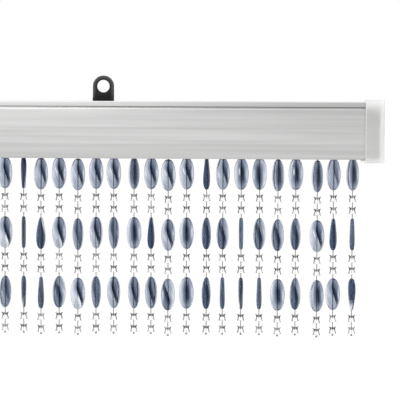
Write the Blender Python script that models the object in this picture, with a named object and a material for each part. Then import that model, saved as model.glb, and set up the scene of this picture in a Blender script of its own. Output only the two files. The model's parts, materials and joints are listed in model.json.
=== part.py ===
"""Fly curtain: bead strands that hang in one row from an aluminium head rail.

Metres, +Z up. +X runs to the right along the rail, -Y is the front, and the wall is the plane Y = 0.
The origin is the middle of the flat face with which the rail's back lies on the wall.
"""

import math

import bmesh
import bpy
from mathutils import Matrix, Vector

# Driving sizes of the whole curtain
STRAND_COUNT = 22
ROW_COUNT = 3
STRAND_PITCH = 0.0140
END_MARGIN = 0.0092  # from the last strand to the edge of the end cap
SEAT_GAP = 0.0003  # between pieces that touch
OVERRUN = 0.002  # how far a cutter or a joined block runs past a face

# Head rail, an aluminium extrusion
RAIL_HEIGHT = 0.0436
RAIL_DEPTH = 0.0183
FRONT_WALL = 0.0016
REAR_WALL = 0.0013
WEB_WALL = 0.0013
BACK_FACE_HEIGHT = 0.0260  # the part of the back that lies on the wall
TRACK_RECESS = 0.0027  # the lugs' plates slide in this recess above it
TRACK_MOUTH_FOOT_SHARE = 0.25  # the mouth's lower and upper lip in the lug chamber's height
TRACK_MOUTH_TOP_SHARE = 0.63
BAND_HEIGHT = 0.0037  # the band along the top of the front
BAND_SETBACK = 0.0004
BAND_ROUNDING = 0.0008
GROOVE_HEIGHT = 0.0009  # the dark line below the band
GROOVE_DEPTH = 0.0011
GROOVE_SLOPE = 0.0011  # the bright slope below the dark line

# Rod that carries the strands, inside the rail's lower channel
ROD_RADIUS = 0.00125
ROD_HEIGHT = 0.0070  # its axis above the rail's foot
ROD_SIDES = 12
SOCKET_CLEARANCE = 0.0003

# Snap hook at the top of each strand
CLIP_BORE_CLEARANCE = 0.00045
CLIP_WALL = 0.0011
CLIP_THICKNESS = 0.0014
CLIP_STEM_LENGTH = 0.0010
CLIP_STEM_WIDTH = 0.0016
CLIP_ARC_STEPS = 8
CLIP_MOUTH_START_DEGREES = 205
CLIP_MOUTH_END_DEGREES = 250

# Strand: thread, twisted oval beads and clear spool beads
THREAD_RADIUS = 0.00040
KNOT_RADIUS = 0.00095
KNOT_HEIGHT = 0.0014
BEAD_LENGTH = 0.0242
BEAD_WIDTH = 0.0113
BEAD_THICKNESS = 0.0036
BEAD_BLUNTNESS = 0.3  # below 1 the thickness falls off later than the width
BEAD_STEPS = 6
BEAD_TWIST_DEGREES = 24
BEAD_TUCK = 0.0006  # how far a bead's upper tip reaches up behind the rail's front
ROW_REPEAT = 0.0458
SPOOL_RIM_RADIUS = 0.00295
SPOOL_WAIST_RADIUS = 0.00135
SPOOL_HEIGHT = 0.0056
SPOOL_RIM_SLOPE = 0.0005
SPOOL_FIRST_DROP = 0.0179  # from the oval bead's centre to the first spool's centre
SPOOL_SECOND_DROP = 0.0270
END_KNOT_DROP = 0.0314  # from the last oval bead's centre to the knot below its spools
ROUND_SIDES = 6
THREAD_SIDES = 3

# How far each oval bead is turned about its thread, face on at 0, from the top row down
BEAD_TURN_DEGREES = (
    (-10, 30, -60),
    (50, 0, 20),
    (0, 8, 40),
    (-64, -82, -70),
    (24, 58, 74),
    (0, -12, 34),
    (16, -36, 4),
    (-4, -24, -42),
    (0, -38, -22),
    (46, 0, -32),
    (-2, 66, -30),
    (0, -16, 20),
    (0, -12, 3),
    (66, 52, 54),
    (22, 38, 78),
    (0, 92, -80),
    (-4, 36, 76),
    (34, 32, 0),
    (0, 44, 42),
    (38, 0, 16),
    (18, 60, 8),
    (28, 74, -62),
)

# How far each hook has slid from its even place, in shares of the pitch
STRAND_SHIFT_SHARES = (
    0, 0.02, 0, 0.03, -0.02, -0.02, 0.01, 0.01, -0.02, 0.09, 0.03,
    -0.04, -0.03, 0.06, -0.06, -0.05, -0.05, -0.05, -0.08, 0.09, -0.03, 0,
)

# How much lower than the others a strand is tied, in shares of an oval bead's length
STRAND_DROP_SHARES = (
    0, 0.03, 0, 0, 0.03, 0, 0.05, 0, 0, 0, 0,
    0.057, 0, 0, 0, 0, 0, 0.038, 0, 0.06, 0, 0,
)

# Hanging lugs
LUG_WIDTH = 0.0163
LUG_THICKNESS = 0.0024
LUG_HOLE_RADIUS = 0.0048
LUG_HOLE_RISE = 0.0112  # the hole's centre above the rail's top
LUG_EDGE_ROUNDING = 0.0008
LUG_ARC_STEPS = 14
LUG_HOLE_SIDES = 24
LUG_SHOULDER_HEIGHT = 0.0021
LUG_SHOULDER_DEPTH = 0.0018
LUG_HEAD_THICKNESS = 0.0016
LUG_HEAD_REACH_SHARE = 0.45  # how far the head reaches past the mouth, in the lips' heights
LUG_HEAD_WIDTH = 0.0130
LEFT_LUG_INSET = 0.0180  # from the left end cap's edge
RIGHT_LUG_INSET = 0.1122

# End caps, translucent sleeves with a tongue and a socket for the rod
CAP_LENGTH = 0.0143
CAP_END_WALL = 0.0034
CAP_FRONT_WALL = 0.0016
CAP_TOP_WALL = 0.0013
CAP_FOOT_WALL = 0.0021
CAP_FOOT_REACH = 0.0030  # how far the foot wall runs on under the rail
CAP_ROUNDING = 0.0008
TONGUE_LENGTH = 0.0080
TONGUE_WALL = 0.0016
SOCKET_WALL = 0.0015
SOCKET_LENGTH = 0.0080
SOCKET_SIDES = 16

# Places that follow from the sizes above
RAIL_FOOT = -BACK_FACE_HEIGHT / 2
RAIL_TOP = RAIL_FOOT + RAIL_HEIGHT
RAIL_FRONT = -RAIL_DEPTH
CHANNEL_FRONT = RAIL_FRONT + FRONT_WALL
CHANNEL_BACK = -REAR_WALL
STRAND_Y = (CHANNEL_FRONT + CHANNEL_BACK) / 2
WEB_TOP = RAIL_FOOT + BACK_FACE_HEIGHT
WEB_FOOT = WEB_TOP - WEB_WALL
TRACK_BACK = -TRACK_RECESS - REAR_WALL
CHAMBER_TOP = RAIL_TOP - WEB_WALL
CHAMBER_HEIGHT = CHAMBER_TOP - WEB_TOP
MOUTH_FOOT = WEB_TOP + TRACK_MOUTH_FOOT_SHARE * CHAMBER_HEIGHT
MOUTH_TOP = WEB_TOP + TRACK_MOUTH_TOP_SHARE * CHAMBER_HEIGHT
ROD_Z = RAIL_FOOT + ROD_HEIGHT
HALF_ROW = STRAND_PITCH * (STRAND_COUNT - 1) / 2
OPEN_HALF = HALF_ROW + END_MARGIN  # half the rail's length between the end caps
CAP_OVERLAP = CAP_LENGTH - CAP_END_WALL - SEAT_GAP
RAIL_HALF = OPEN_HALF + CAP_OVERLAP
CLIP_INNER = ROD_RADIUS + CLIP_BORE_CLEARANCE
CLIP_OUTER = CLIP_INNER + CLIP_WALL
CLIP_FOOT = ROD_Z - CLIP_OUTER - CLIP_STEM_LENGTH


def plastic(name, colour, roughness, transmission=0.0):
    """A moulded plastic; transmission lets light through it."""
    material = bpy.data.materials.new(name)
    material.use_nodes = True
    shader = material.node_tree.nodes["Principled BSDF"]
    shader.inputs["Base Color"].default_value = colour
    shader.inputs["Roughness"].default_value = roughness
    shader.inputs["Transmission Weight"].default_value = transmission
    return material


def metal(name, colour, roughness):
    """A bare metal."""
    material = plastic(name, colour, roughness)
    shader = material.node_tree.nodes["Principled BSDF"]
    shader.inputs["Metallic"].default_value = 1.0
    return material


def clear_scene():
    """Start from an empty scene."""
    for item in list(bpy.data.objects):
        bpy.data.objects.remove(item, do_unlink=True)


def finished(name, mesh_edit, material, origin=(0.0, 0.0, 0.0)):
    """Turn a bmesh drawn about the origin into a named object that stands at its place."""
    bmesh.ops.recalc_face_normals(mesh_edit, faces=mesh_edit.faces)
    mesh = bpy.data.meshes.new(name)
    mesh_edit.to_mesh(mesh)
    mesh_edit.free()
    mesh.materials.append(material)
    item = bpy.data.objects.new(name, mesh)
    item.location = origin
    bpy.context.collection.objects.link(item)
    return item


def smooth_rounds(item, sharp_degrees=35):
    """Shade the round stretches smooth and keep the real edges sharp."""
    item.data.shade_smooth()
    item.data.set_sharp_from_angle(angle=math.radians(sharp_degrees))


def block_mesh(low, high):
    """A box between two corners, given in any order along each axis."""
    centre = (Vector(low) + Vector(high)) / 2
    size = [abs(b - a) for a, b in zip(low, high)]
    mesh_edit = bmesh.new()
    bmesh.ops.create_cube(mesh_edit, size=1)
    bmesh.ops.scale(mesh_edit, vec=size, verts=mesh_edit.verts)
    bmesh.ops.translate(mesh_edit, vec=centre, verts=mesh_edit.verts)
    return mesh_edit


def round_edges(mesh_edit, wanted, width, segments=2):
    """Round the edges that the test picks."""
    edges = [edge for edge in mesh_edit.edges if wanted(edge)]
    bmesh.ops.bevel(
        mesh_edit, geom=edges, offset=width, affect="EDGES", segments=segments, profile=0.5, material=-1
    )


def bar_mesh(radius, sides, start, end):
    """A round bar along X between two places on the X axis."""
    mesh_edit = bmesh.new()
    turn = Matrix.Rotation(math.radians(90), 4, "Y")
    length = abs(end - start)
    bmesh.ops.create_cone(
        mesh_edit, cap_ends=True, segments=sides, radius1=radius, radius2=radius, depth=length, matrix=turn
    )
    bmesh.ops.translate(mesh_edit, vec=((start + end) / 2, 0, 0), verts=mesh_edit.verts)
    return mesh_edit


def combine(item, tool, operation):
    """Join a helper to a piece, or cut it out; the helper itself is no part of the curtain."""
    modifier = item.modifiers.new(operation.lower(), "BOOLEAN")
    modifier.operation = operation
    modifier.object = tool
    tool.hide_render = True
    tool.display_type = "WIRE"


def extruded(outline, across, material, name, origin=(0.0, 0.0, 0.0)):
    """Push a closed outline of (y, z) points out along X, half of the width to each side."""
    mesh_edit = bmesh.new()
    corners = [mesh_edit.verts.new((-across / 2, y, z)) for y, z in outline]
    face = mesh_edit.faces.new(corners)
    pushed = bmesh.ops.extrude_face_region(mesh_edit, geom=[face])
    moved = [part for part in pushed["geom"] if isinstance(part, bmesh.types.BMVert)]
    bmesh.ops.translate(mesh_edit, vec=(across, 0, 0), verts=moved)
    return finished(name, mesh_edit, material, origin)


def rail_outline():
    """The extrusion's section: a lug track above the web and the strands' channel below it."""
    band_front = RAIL_FRONT + BAND_SETBACK
    groove_floor = RAIL_FRONT + GROOVE_DEPTH
    band_foot = RAIL_TOP - BAND_HEIGHT
    slope_top = band_foot - GROOVE_HEIGHT
    return [
        (RAIL_FRONT, RAIL_FOOT),
        (RAIL_FRONT, slope_top - GROOVE_SLOPE),
        (groove_floor, slope_top),
        (groove_floor, band_foot),
        (band_front, band_foot),
        (band_front, RAIL_TOP - BAND_ROUNDING),
        (band_front + BAND_ROUNDING, RAIL_TOP),
        (-TRACK_RECESS, RAIL_TOP),
        (-TRACK_RECESS, MOUTH_TOP),
        (TRACK_BACK, MOUTH_TOP),
        (TRACK_BACK, CHAMBER_TOP),
        (CHANNEL_FRONT, CHAMBER_TOP),
        (CHANNEL_FRONT, WEB_TOP),
        (TRACK_BACK, WEB_TOP),
        (TRACK_BACK, MOUTH_FOOT),
        (-TRACK_RECESS, MOUTH_FOOT),
        (-TRACK_RECESS, WEB_TOP),
        (0, WEB_TOP),
        (0, RAIL_FOOT),
        (CHANNEL_BACK, RAIL_FOOT),
        (CHANNEL_BACK, WEB_FOOT),
        (CHANNEL_FRONT, WEB_FOOT),
        (CHANNEL_FRONT, RAIL_FOOT),
    ]


def make_rail(aluminium):
    """The head rail, cut to length from one extrusion."""
    return extruded(rail_outline(), 2 * RAIL_HALF, aluminium, "head_rail")


def make_rod(steel):
    """The rod that the hooks hang on; its ends sit in the end caps' sockets."""
    half = RAIL_HALF - SEAT_GAP
    rod = finished("strand_rod", bar_mesh(ROD_RADIUS, ROD_SIDES, -half, half), steel, (0, STRAND_Y, ROD_Z))
    smooth_rounds(rod)
    return rod


def arc(radius, start_degrees, end_degrees, steps):
    """Points of a round stretch, as pairs about the arc's centre."""
    points = []
    for step in range(steps + 1):
        angle = math.radians(start_degrees + (end_degrees - start_degrees) * step / steps)
        points.append((radius * math.cos(angle), radius * math.sin(angle)))
    return points


def clip_outline():
    """A snap hook about the rod's axis: it bears on the rod's top and opens below, at the front."""
    half_stem = CLIP_STEM_WIDTH / 2
    stem_degrees = math.degrees(math.asin(half_stem / CLIP_OUTER)) - 90
    mouth_back = CLIP_MOUTH_END_DEGREES - 360
    outer = arc(CLIP_OUTER, stem_degrees, CLIP_MOUTH_START_DEGREES, CLIP_ARC_STEPS)
    inner = arc(CLIP_INNER, CLIP_MOUTH_START_DEGREES, mouth_back, CLIP_ARC_STEPS)
    stem_foot = CLIP_FOOT - ROD_Z
    return outer + inner + [(-half_stem, stem_foot), (half_stem, stem_foot)]


def strand_x(index):
    """A strand's place along the rail."""
    return (index - (STRAND_COUNT - 1) / 2 + STRAND_SHIFT_SHARES[index % len(STRAND_SHIFT_SHARES)]) * STRAND_PITCH


def make_clip(index, clip_plastic):
    """One snap hook, with its origin on the rod's axis, about which it swings."""
    name = f"strand_clip_{index + 1:02d}"
    place = (strand_x(index), STRAND_Y, ROD_Z)
    return extruded(clip_outline(), CLIP_THICKNESS, clip_plastic, name, place)


def ring(mesh_edit, station):
    """One section of a strand: a round or flat oval ring of vertices at a height."""
    height, half_width, half_depth, turn, start, sides = station
    points = []
    for corner in range(sides):
        angle = start + math.tau * corner / sides
        flat = Vector((half_width * math.cos(angle), half_depth * math.sin(angle), height))
        points.append(mesh_edit.verts.new(Matrix.Rotation(turn, 3, "Z") @ flat))
    return points


def skin(mesh_edit, upper, lower):
    """Faces between two rings, which have as many corners as each other or twice as many."""
    if len(upper) == len(lower):
        for here in range(len(upper)):
            after = (here + 1) % len(upper)
            mesh_edit.faces.new((upper[here], upper[after], lower[after], lower[here]))
        return
    fine, coarse = (upper, lower) if len(upper) > len(lower) else (lower, upper)
    for here in range(len(coarse)):
        after = (here + 1) % len(coarse)
        middle = fine[2 * here + 1]
        mesh_edit.faces.new((coarse[here], fine[2 * here], middle))
        mesh_edit.faces.new((coarse[here], middle, coarse[after]))
        mesh_edit.faces.new((coarse[after], middle, fine[(2 * here + 2) % len(fine)]))


def round_station(height, radius, turn, sides):
    return (height, radius, radius, turn, 0.0, sides)


def oval_bead(centre, face_turn, thread_turn):
    """Sections of one twisted flat oval bead, from its upper tip to its lower one."""
    twist = math.radians(BEAD_TWIST_DEGREES)
    stations = []
    for step in range(BEAD_STEPS + 1):
        sweep = math.pi * step / BEAD_STEPS
        rise = math.cos(sweep)
        swell = math.sin(sweep)
        turn = face_turn + twist * rise / 2
        half_width = THREAD_RADIUS + (BEAD_WIDTH / 2 - THREAD_RADIUS) * swell
        half_depth = THREAD_RADIUS + (BEAD_THICKNESS / 2 - THREAD_RADIUS) * swell**BEAD_BLUNTNESS
        tip = step in (0, BEAD_STEPS)
        sides = THREAD_SIDES if tip else ROUND_SIDES
        start = thread_turn - face_turn
        stations.append((centre + rise * BEAD_LENGTH / 2, half_width, half_depth, turn, start, sides))
    return stations


def spool_bead(centre, turn):
    """Sections of one clear spool bead: a narrow waist between two rims."""
    half = SPOOL_HEIGHT / 2
    return [
        round_station(centre + half, THREAD_RADIUS, turn, THREAD_SIDES),
        round_station(centre + half - SPOOL_RIM_SLOPE, SPOOL_RIM_RADIUS, turn, ROUND_SIDES),
        round_station(centre, SPOOL_WAIST_RADIUS, turn, ROUND_SIDES),
        round_station(centre - half + SPOOL_RIM_SLOPE, SPOOL_RIM_RADIUS, turn, ROUND_SIDES),
        round_station(centre - half, THREAD_RADIUS, turn, THREAD_SIDES),
    ]


def knot(centre, turn):
    """Sections of a small round knot in the thread."""
    half = KNOT_HEIGHT / 2
    return [
        round_station(centre + half, THREAD_RADIUS, turn, THREAD_SIDES),
        round_station(centre, KNOT_RADIUS, turn, ROUND_SIDES),
        round_station(centre - half, THREAD_RADIUS, turn, THREAD_SIDES),
    ]


def strand_stations(index):
    """All sections of one strand from its top knot down, in heights above the knot's top.

    The thread has three corners, so between two oval beads it turns by less than a third of a
    turn, and the next bead's sections start at the corner that the thread has arrived at.
    """
    drop = STRAND_DROP_SHARES[index % len(STRAND_DROP_SHARES)] * BEAD_LENGTH
    turns = BEAD_TURN_DEGREES[index % len(BEAD_TURN_DEGREES)]
    knot_top = CLIP_FOOT - SEAT_GAP
    first_centre = RAIL_FOOT + BEAD_TUCK - BEAD_LENGTH / 2 - drop - knot_top
    half_twist = math.radians(BEAD_TWIST_DEGREES) / 2
    third = math.tau / THREAD_SIDES
    thread_turn = math.radians(turns[0])
    stations = knot(-KNOT_HEIGHT / 2, thread_turn + half_twist)
    for row in range(ROW_COUNT):
        centre = first_centre - row * ROW_REPEAT
        face_turn = math.radians(turns[row % len(turns)])
        stations += oval_bead(centre, face_turn, thread_turn)
        following = math.radians(turns[(row + 1) % len(turns)])
        leaving = thread_turn - half_twist
        change = (following - thread_turn + 2 * half_twist + third / 2) % third - third / 2
        stations += spool_bead(centre - SPOOL_FIRST_DROP, leaving + change / 3)
        stations += spool_bead(centre - SPOOL_SECOND_DROP, leaving + change * 2 / 3)
        thread_turn = leaving + change - half_twist
    last_centre = first_centre - (ROW_COUNT - 1) * ROW_REPEAT
    stations += knot(last_centre - END_KNOT_DROP, leaving + change)
    return stations


def make_strand(index, acrylic):
    """Thread, beads and knots of one strand, with its origin on its own axis under the hook."""
    mesh_edit = bmesh.new()
    rings = [ring(mesh_edit, station) for station in strand_stations(index)]
    for upper, lower in zip(rings, rings[1:]):
        skin(mesh_edit, upper, lower)
    mesh_edit.faces.new(rings[0])
    mesh_edit.faces.new(rings[-1])
    place = (strand_x(index), STRAND_Y, CLIP_FOOT - SEAT_GAP)
    return finished(f"strand_{index + 1:02d}", mesh_edit, acrylic, place)


def lug_plate_mesh(foot, top_centre):
    """The lug's flat plate, straight at the foot and half round at the top, in the XZ plane."""
    mesh_edit = bmesh.new()
    half = LUG_WIDTH / 2
    outline = [(-half, foot), (half, foot)]
    outline += [(x, top_centre + z) for x, z in arc(half, 0, 180, LUG_ARC_STEPS)]
    corners = [mesh_edit.verts.new((x, -LUG_THICKNESS, z)) for x, z in outline]
    face = mesh_edit.faces.new(corners)
    pushed = bmesh.ops.extrude_face_region(mesh_edit, geom=[face])
    moved = [part for part in pushed["geom"] if isinstance(part, bmesh.types.BMVert)]
    bmesh.ops.translate(mesh_edit, vec=(0, LUG_THICKNESS, 0), verts=moved)
    bmesh.ops.recalc_face_normals(mesh_edit, faces=mesh_edit.faces)
    round_edges(
        mesh_edit,
        lambda edge: all(abs(vert.co.y + LUG_THICKNESS) < SEAT_GAP for vert in edge.verts),
        LUG_EDGE_ROUNDING,
        1,
    )
    return mesh_edit


def make_lug(name, place, black):
    """A hanging lug that slides in the track at the rail's back; its origin is at the hole."""
    hole_z = RAIL_TOP + LUG_HOLE_RISE
    origin = (place, 0, hole_z)
    lug = finished(name, lug_plate_mesh(WEB_TOP + SEAT_GAP - hole_z, 0), black, origin)
    neck_foot = MOUTH_FOOT + SEAT_GAP - hole_z
    neck_top = MOUTH_TOP - SEAT_GAP - hole_z
    head_front = TRACK_BACK - SEAT_GAP
    half_head = LUG_HEAD_WIDTH / 2
    inside = OVERRUN / 2
    neck = block_mesh((-half_head, head_front - inside / 2, neck_foot), (half_head, -inside, neck_top))
    reach_down = LUG_HEAD_REACH_SHARE * (MOUTH_FOOT - WEB_TOP)
    reach_up = LUG_HEAD_REACH_SHARE * (CHAMBER_TOP - MOUTH_TOP)
    head_low = (-half_head, head_front - LUG_HEAD_THICKNESS, neck_foot - reach_down)
    head_high = (half_head, head_front, neck_top + reach_up)
    shoulder_foot = SEAT_GAP - LUG_HOLE_RISE
    shoulder = block_mesh(
        (-LUG_WIDTH / 2, -LUG_THICKNESS - LUG_SHOULDER_DEPTH, shoulder_foot),
        (LUG_WIDTH / 2, -inside, shoulder_foot + LUG_SHOULDER_HEIGHT),
    )
    combine(lug, finished(name + "_neck_block", neck, black, origin), "UNION")
    combine(lug, finished(name + "_head_block", block_mesh(head_low, head_high), black, origin), "UNION")
    combine(lug, finished(name + "_shoulder_block", shoulder, black, origin), "UNION")
    hole = bmesh.new()
    turn = Matrix.Rotation(math.radians(90), 4, "X")
    bmesh.ops.create_cone(
        hole,
        cap_ends=True,
        segments=LUG_HOLE_SIDES,
        radius1=LUG_HOLE_RADIUS,
        radius2=LUG_HOLE_RADIUS,
        depth=2 * (LUG_THICKNESS + OVERRUN),
        matrix=turn,
    )
    combine(lug, finished(name + "_hole_cutter", hole, black, origin), "DIFFERENCE")
    smooth_rounds(lug)
    return lug


def make_cap(name, side, frosted):
    """An end cap: a sleeve over the rail's end, a tongue in its track chamber and a rod socket.

    Lengths run outwards from the sleeve's inner edge; side is 1 at the right end, -1 at the left.
    """
    edge_x = side * OPEN_HALF
    origin = (edge_x, 0, 0)
    wall_x = side * (CAP_LENGTH - CAP_END_WALL)
    outer_x = side * CAP_LENGTH
    front = RAIL_FRONT - SEAT_GAP - CAP_FRONT_WALL
    top = RAIL_TOP + SEAT_GAP + CAP_TOP_WALL
    foot = RAIL_FOOT - SEAT_GAP - CAP_FOOT_WALL
    body = block_mesh((0, front, foot), (outer_x, 0, top))
    round_edges(
        body,
        lambda edge: sum(abs(vert.co.y - front) < SEAT_GAP for vert in edge.verts) == 2
        or sum(abs(vert.co.x - outer_x) < SEAT_GAP for vert in edge.verts) == 2,
        CAP_ROUNDING,
    )
    cap = finished(name, body, frosted, origin)
    cavity = block_mesh(
        (-side * OVERRUN, RAIL_FRONT - SEAT_GAP, RAIL_FOOT - SEAT_GAP),
        (wall_x, OVERRUN, RAIL_TOP + SEAT_GAP),
    )
    combine(cap, finished(name + "_cavity_cutter", cavity, frosted, origin), "DIFFERENCE")
    reach = block_mesh(
        (-side * CAP_FOOT_REACH, front + CAP_ROUNDING, foot),
        (side * OVERRUN, -CAP_ROUNDING, RAIL_FOOT - SEAT_GAP),
    )
    round_edges(
        reach,
        lambda edge: all(abs(vert.co.x + side * CAP_FOOT_REACH) < SEAT_GAP for vert in edge.verts)
        and all(abs(vert.co.z - foot) < SEAT_GAP for vert in edge.verts),
        CAP_FOOT_WALL - CAP_ROUNDING,
    )
    combine(cap, finished(name + "_foot_block", reach, frosted, origin), "UNION")
    into_wall = side * (CAP_LENGTH - CAP_END_WALL / 2)
    tongue_x = wall_x - side * TONGUE_LENGTH
    tongue_low = (tongue_x, CHANNEL_FRONT + SEAT_GAP, WEB_TOP + SEAT_GAP)
    tongue_high = (into_wall, TRACK_BACK - SEAT_GAP, CHAMBER_TOP - SEAT_GAP)
    combine(cap, finished(name + "_tongue_block", block_mesh(tongue_low, tongue_high), frosted, origin), "UNION")
    hollow = block_mesh(
        (tongue_x - side * OVERRUN, tongue_low[1] + TONGUE_WALL, tongue_low[2] + TONGUE_WALL),
        (wall_x, tongue_high[1] - TONGUE_WALL, tongue_high[2] - TONGUE_WALL),
    )
    combine(cap, finished(name + "_tongue_cutter", hollow, frosted, origin), "DIFFERENCE")
    rod_place = (edge_x, STRAND_Y, ROD_Z)
    bore = ROD_RADIUS + SOCKET_CLEARANCE
    socket_x = wall_x - side * SOCKET_LENGTH
    socket = bar_mesh(bore + SOCKET_WALL, SOCKET_SIDES, socket_x, into_wall)
    combine(cap, finished(name + "_socket_block", socket, frosted, rod_place), "UNION")
    bore_mesh = bar_mesh(bore, SOCKET_SIDES, socket_x - side * OVERRUN, wall_x)
    combine(cap, finished(name + "_socket_cutter", bore_mesh, frosted, rod_place), "DIFFERENCE")
    smooth_rounds(cap)
    return cap


def build():
    """Make every piece of the curtain."""
    clear_scene()
    aluminium = metal("aluminium", (0.62, 0.62, 0.61, 1.0), 0.38)
    steel = metal("steel", (0.55, 0.56, 0.58, 1.0), 0.30)
    black = plastic("black_plastic", (0.012, 0.012, 0.013, 1.0), 0.42)
    frosted = plastic("frosted_plastic", (0.86, 0.88, 0.88, 1.0), 0.35, 0.6)
    clip_plastic = plastic("clip_plastic", (0.80, 0.80, 0.78, 1.0), 0.40)
    acrylic = plastic("slate_blue_acrylic", (0.055, 0.090, 0.160, 1.0), 0.12, 0.3)
    make_rail(aluminium)
    make_rod(steel)
    make_cap("end_cap_left", -1, frosted)
    make_cap("end_cap_right", 1, frosted)
    make_lug("hanging_lug_left", LEFT_LUG_INSET - OPEN_HALF, black)
    make_lug("hanging_lug_right", RIGHT_LUG_INSET - OPEN_HALF, black)
    for index in range(STRAND_COUNT):
        make_clip(index, clip_plastic)
        make_strand(index, acrylic)


build()
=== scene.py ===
import json
import math

import bmesh
import bpy
from mathutils import Matrix, Vector


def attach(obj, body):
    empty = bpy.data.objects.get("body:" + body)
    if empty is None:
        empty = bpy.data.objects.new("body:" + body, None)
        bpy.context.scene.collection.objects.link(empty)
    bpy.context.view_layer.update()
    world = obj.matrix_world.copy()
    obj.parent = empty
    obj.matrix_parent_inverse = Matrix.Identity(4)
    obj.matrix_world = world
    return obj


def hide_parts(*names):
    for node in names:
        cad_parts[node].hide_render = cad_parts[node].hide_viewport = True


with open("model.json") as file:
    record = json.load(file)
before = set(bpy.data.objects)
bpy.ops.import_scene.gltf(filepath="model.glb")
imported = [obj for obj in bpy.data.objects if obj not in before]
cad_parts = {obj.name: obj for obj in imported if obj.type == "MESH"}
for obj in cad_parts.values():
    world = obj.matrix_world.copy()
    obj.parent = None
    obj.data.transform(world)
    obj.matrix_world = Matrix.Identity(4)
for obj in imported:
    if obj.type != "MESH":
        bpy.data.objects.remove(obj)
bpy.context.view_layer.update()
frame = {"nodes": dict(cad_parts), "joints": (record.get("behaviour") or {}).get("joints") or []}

# Sizes of the strands. The solids have the same ones, except where a comment says otherwise
STRAND_COUNT = 22
ROW_COUNT = 3
BEAD_LENGTH = 0.0242
BEAD_WIDTH = 0.0113
BEAD_THICKNESS = 0.0036
BEAD_TWIST = math.radians(24)
SLIGHT_TWIST = math.radians(8)  # of the beads whose two ends look alike in the photograph, 24 in the solids
SLIGHT_TWIST_LIMIT = 56  # the turn in degrees up to which they do
BEAD_BLUNTNESS = 0.3  # the thickness falls off later than the width
BEAD_RIM_SHARPNESS = 2.0  # 1 is an ellipse's section, above it the rims are thinner
BEAD_TIP_RADIUS = 0.0007
BEAD_SEGMENTS = 40
BEAD_RINGS = 36
BEAD_TUCK = 0.0006  # how far a bead's upper tip reaches up behind the rail's front
ROW_REPEAT = 0.0458
SPOOL_DROPS = (0.0184, 0.0275)  # below the oval bead's centre, half a millimetre more than in the solids
SPOOL_HEIGHT = 0.0056
SPOOL_RIM_RADIUS = 0.00295
SPOOL_STEPS = 20
END_KNOT_DROP = 0.0314
KNOT_RADIUS = 0.00090  # a little less than in the solids
KNOT_FLATTENING = 0.75
THREAD_RADIUS = 0.00036  # a little less than in the solids
THREAD_STEPS = 24

# Places on the rail, the end caps and the lugs, which the finishes follow
RAIL_FOOT = -0.0130
RAIL_TOP = 0.0306
RAIL_HALF = 0.156  # half the length that shows between the end caps
CAP_FOOT = -0.0155
CAP_TOP = 0.0322
CAP_OUTER_END = 0.1705
LUG_PLACES = (-0.1382, -0.0440)
LUG_HOLE_HEIGHT = 0.0418
LUG_SHADE_TOP = 0.0382  # below it a lug darkens towards the rail
# A lug's painted highlight runs along its rim, between these distances
LUG_HIGHLIGHT_START = 0.0052  # from the hole's centre
LUG_HIGHLIGHT_END = 0.0076

# Roundings of the hard edges
HARD_EDGE = math.radians(28)
FLAT_ANGLE = math.radians(1)
FINE_ROUNDING = 0.00015
LUG_ROUNDING = 0.00025
ROUNDING_SEGMENTS = 2
MERGE_DISTANCE = 1e-6

# The room, its two lamps as name, place, size and watts, and the photograph's view
FLOOR_HEIGHT = -0.60
FLOOR_HALF_SIZE = 30
FLOOR_GLOW = 0.55
ROOM_LEVEL = 0.55  # how strongly the background lights the object, 1 where it is seen
LAMPS = (
    ("key_lamp", (-1.1, -1.5, 1.1), 1.2, 22),
    ("fill_lamp", (1.3, -1.3, 0.4), 1.2, 9),
)
CAMERA_PLACE = (0.1007, -1.6, 0.0519)
CAMERA_YAW = math.radians(-2.516)
CAMERA_PITCH = math.radians(-3.472)
CAMERA_ROLL = math.radians(0.235)
CAMERA_LENS = 187.9
CAMERA_SENSOR = 36

# Half a spool bead's outline from its upper end down and back up through its bore: radius, height and how
# much painted shade it gets from the side. At -1 it is cloudy, which hides the thread in the lower half of
# the bore
SPOOL_PROFILE = (
    (0.14, 1.00, 0.15), (0.84, 1.00, 0.20), (0.97, 0.93, 0.65), (0.95, 0.80, 0.95), (0.83, 0.62, 0.95),
    (0.76, 0.50, 0.90), (0.73, 0.42, 1.0), (0.72, 0.30, 1.0), (0.73, 0.18, 0.97), (0.75, 0.09, 0.85),
    (0.79, -0.06, 0.78), (0.87, -0.42, 0.75), (0.96, -0.80, 0.75), (0.98, -0.92, 0.5), (0.86, -1.00, 0.15),
    (0.14, -1.00, -1.0), (0.14, -0.10, -1.0), (0.14, 0.05, 0.15),
)

# How far each oval bead is turned about its thread, face on at 0: a line per strand, from the top row down
BEAD_TURN_DEGREES = (
    (-10, 30, -60),
    (50, 0, 20),
    (0, 8, 40),
    (-64, -82, -70),
    (24, 58, 74),
    (0, -12, 34),
    (16, -36, 4),
    (-4, -24, -42),
    (0, -38, -22),
    (46, 0, -32),
    (-2, 66, -30),
    (0, -16, 20),
    (0, -12, 3),
    (66, 52, 54),
    (22, 38, 78),
    (0, 92, -80),
    (-4, 36, 76),
    (34, 32, 0),
    (0, 44, 42),
    (38, 0, 16),
    (18, 60, 8),
    (28, 74, -62),
)
EDGE_ON_START = 26  # the turn in degrees from which a bead's finish starts to look edge on
EDGE_ON_END = 68  # and the one from which it does

# How much lower than the others a strand is tied, in shares of an oval bead's length
STRAND_DROP_SHARES = (
    0, 0.03, 0, 0, 0.03, 0, 0.05, 0, 0, 0, 0,
    0.057, 0, 0, 0, 0, 0, 0.038, 0, 0.06, 0, 0,
)

# Beads whose painted dark core runs straight down, as strand and row. In the others it bends to the right
STRAIGHT_CORES = (
    (10, 1), (16, 1), (17, 1), (18, 1), (19, 1), (20, 1), (22, 1),
    (2, 2), (10, 2), (13, 2), (13, 3), (18, 3), (20, 3),
)
STRAIGHT_CORE_BEND = 0.15
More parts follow.
